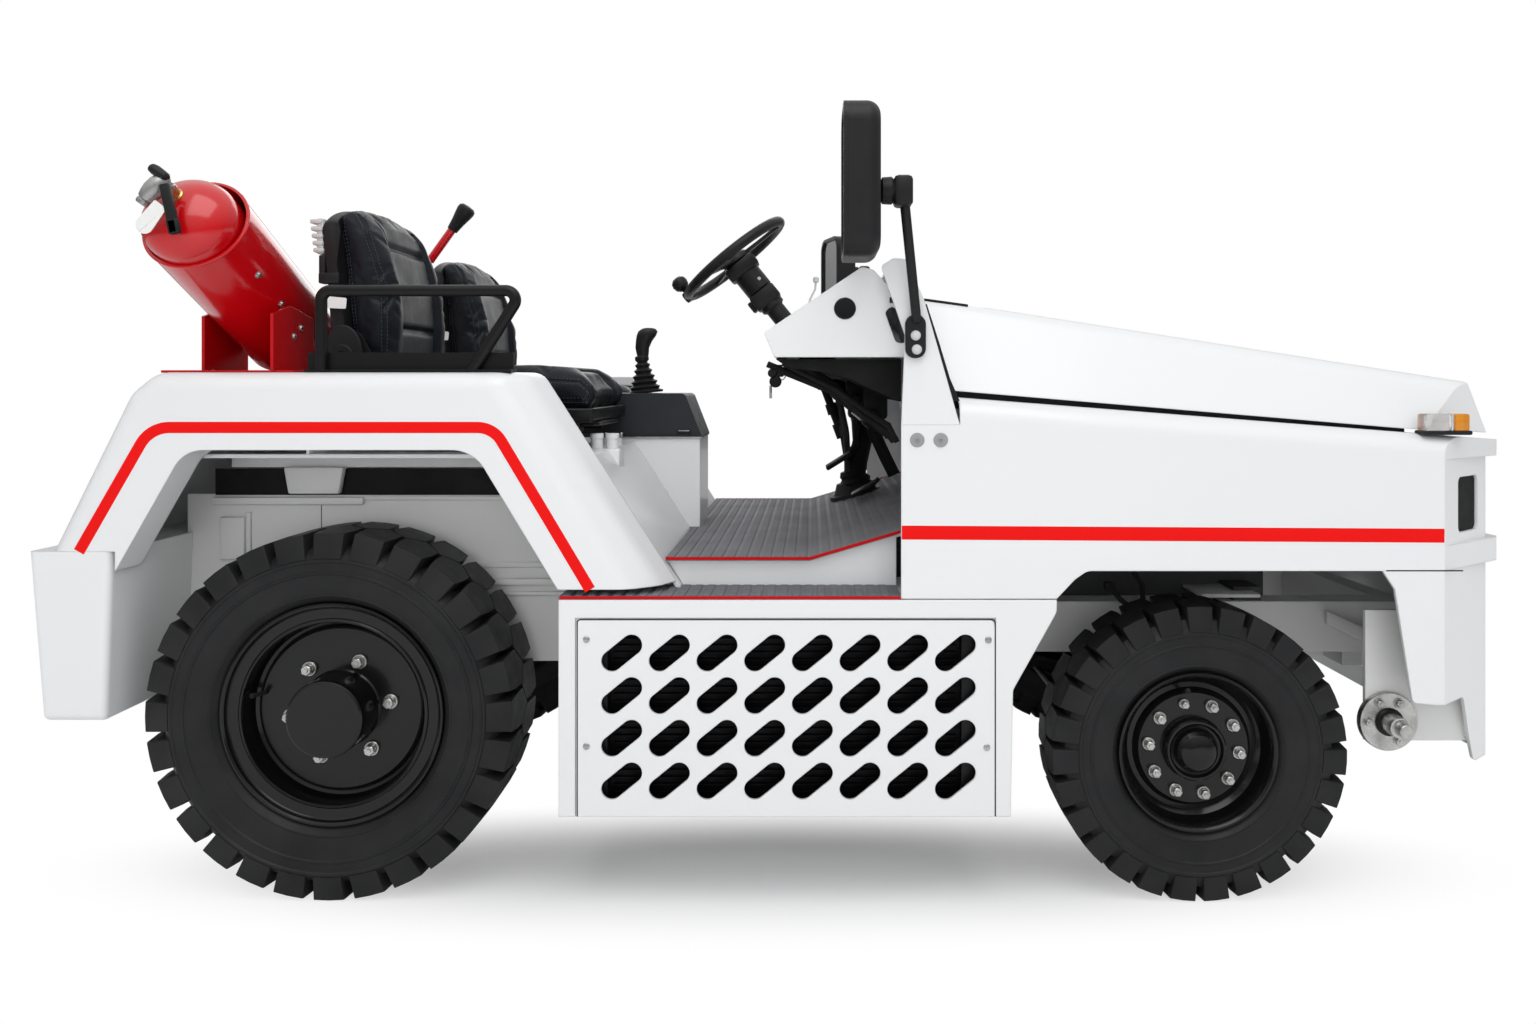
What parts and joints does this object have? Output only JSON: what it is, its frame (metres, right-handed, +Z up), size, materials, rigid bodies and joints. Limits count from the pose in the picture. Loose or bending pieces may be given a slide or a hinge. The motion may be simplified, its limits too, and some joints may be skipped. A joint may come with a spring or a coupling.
{
  "type": "airport baggage tug",
  "caption": "Open airport baggage tractor with a front engine hood, two seats, slotted side boxes, a guard rail, mirrors, an extinguisher and tow hitches.",
  "frame": {"origin": "on the ground under the middle of the overall box", "axes": "+X forward, +Y to the vehicle's left, +Z up"},
  "size_m": [2.84, 1.6223, 1.482],
  "materials": {
    "white_paint": "gloss",
    "frame_paint": "satin",
    "black_paint": "satin",
    "rim_paint": "gloss",
    "tyre": "matte",
    "mat_rubber": "ribbed matte",
    "cooler_black": "satin black",
    "clear_lens": "clear",
    "amber_lens": "clear amber",
    "red_lens": "clear red",
    "black_plastic": "fine grain",
    "zinc_steel": "zinc plated",
    "hose_rubber": "matte",
    "red_paint": "gloss",
    "valve_alloy": "cast",
    "engine_iron": "painted",
    "spring_steel": "painted black",
    "seat_vinyl": "grained vinyl"
  },
  "bodies": {
    "chassis": {"chassis_frame": "frame_paint", "rear_bumper": "white_paint", "tow_hitch": "black_paint", "rear_fender_right": "white_paint", "rear_fender_left": "white_paint", "rear_deck": "white_paint", "wheel_panels": "frame_paint", "seat_platform": "white_paint", "floor_plate": "white_paint", "floor_mats": "mat_rubber", "side_box_right": "white_paint", "side_box_left": "white_paint", "vent_panels": "white_paint", "cooler_packs": "cooler_black", "front_body": "white_paint", "front_apron": "white_paint", "headlamps": "clear_lens", "front_grilles": "black_plastic", "front_tow_points": "zinc_steel", "cowl": "white_paint", "dash_panel": "white_paint", "steering_column": "black_plastic", "steering_hoses": "hose_rubber", "pedals": "black_plastic", "mirrors": "black_plastic", "guard_rail": "black_paint", "indicator_lamps": "amber_lens", "tail_lamps": "red_lens", "extinguisher_holder": "red_paint", "extinguisher_bottle": "red_paint", "extinguisher_valve": "valve_alloy", "console_base": "white_paint", "console_cover": "black_plastic", "gear_lever": "black_plastic", "hitch_lever": "red_paint", "engine_block": "engine_iron", "rear_axle": "black_paint", "front_axle": "black_paint", "front_springs": "spring_steel", "seat_cushion_passenger": "seat_vinyl", "seat_cushion_driver": "seat_vinyl", "seat_backrest_passenger": "seat_vinyl", "seat_backrest_driver": "seat_vinyl", "seat_frame_passenger": "black_paint", "seat_frame_driver": "black_paint"},
    "hood": {"hood": "white_paint"},
    "steering_wheel": {"steering_wheel": "black_plastic"},
    "tie_rod": {"tie_rod": "black_paint"},
    "knuckle_right": {"knuckle_right": "black_paint"},
    "knuckle_left": {"knuckle_left": "black_paint"},
    "front_wheel_right": {"front_rim_right": "rim_paint", "front_tyre_right": "tyre"},
    "rear_wheel_right": {"rear_rim_right": "rim_paint", "rear_tyre_right": "tyre"},
    "front_wheel_left": {"front_rim_left": "rim_paint", "front_tyre_left": "tyre"},
    "rear_wheel_left": {"rear_rim_left": "rim_paint", "rear_tyre_left": "tyre"}
  },
  "joints": [
    {"name": "hood_tilt", "type": "hinge", "parent": "chassis", "child": "hood", "pos_m": [1.41, 0, 0.89284], "axis": [0, 1, 0], "range_deg": [0, 55]},
    {"name": "knuckle_left_steer", "type": "hinge", "parent": "chassis", "child": "knuckle_left", "pos_m": [0.787, 0.45, 0.282], "axis": [0, 0, 1], "range_deg": [-30, 30]},
    {"name": "knuckle_right_steer", "type": "hinge", "parent": "chassis", "child": "knuckle_right", "pos_m": [0.787, -0.45, 0.282], "axis": [0, 0, 1], "range_deg": [-30, 30]},
    {"name": "tie_rod_swing", "type": "hinge", "parent": "knuckle_left", "child": "tie_rod", "pos_m": [0.657, 0.45, 0.22], "axis": [0, 0, 1], "range_deg": [-30, 30]},
    {"name": "steering_wheel_turn", "type": "hinge", "parent": "chassis", "child": "steering_wheel", "pos_m": [-0.166, 0.305, 1.332], "axis": [-0.6293, 0, 0.7771], "range_deg": [-600, 600]},
    {"name": "front_wheel_right_spin", "type": "hinge", "parent": "knuckle_right", "child": "front_wheel_right", "pos_m": [0.787, -0.548, 0.282], "axis": [0, 1, 0], "continuous": true},
    {"name": "rear_wheel_right_spin", "type": "hinge", "parent": "chassis", "child": "rear_wheel_right", "pos_m": [-0.874, -0.522, 0.352], "axis": [0, 1, 0], "continuous": true},
    {"name": "front_wheel_left_spin", "type": "hinge", "parent": "knuckle_left", "child": "front_wheel_left", "pos_m": [0.787, 0.548, 0.282], "axis": [0, 1, 0], "continuous": true},
    {"name": "rear_wheel_left_spin", "type": "hinge", "parent": "chassis", "child": "rear_wheel_left", "pos_m": [-0.874, 0.522, 0.352], "axis": [0, 1, 0], "continuous": true}
  ],
  "couplings": [
    {"joint": "knuckle_right_steer", "follows": "knuckle_left_steer", "ratio": 1},
    {"joint": "tie_rod_swing", "follows": "knuckle_left_steer", "ratio": -1},
    {"joint": "steering_wheel_turn", "follows": "knuckle_left_steer", "ratio": 20}
  ]
}
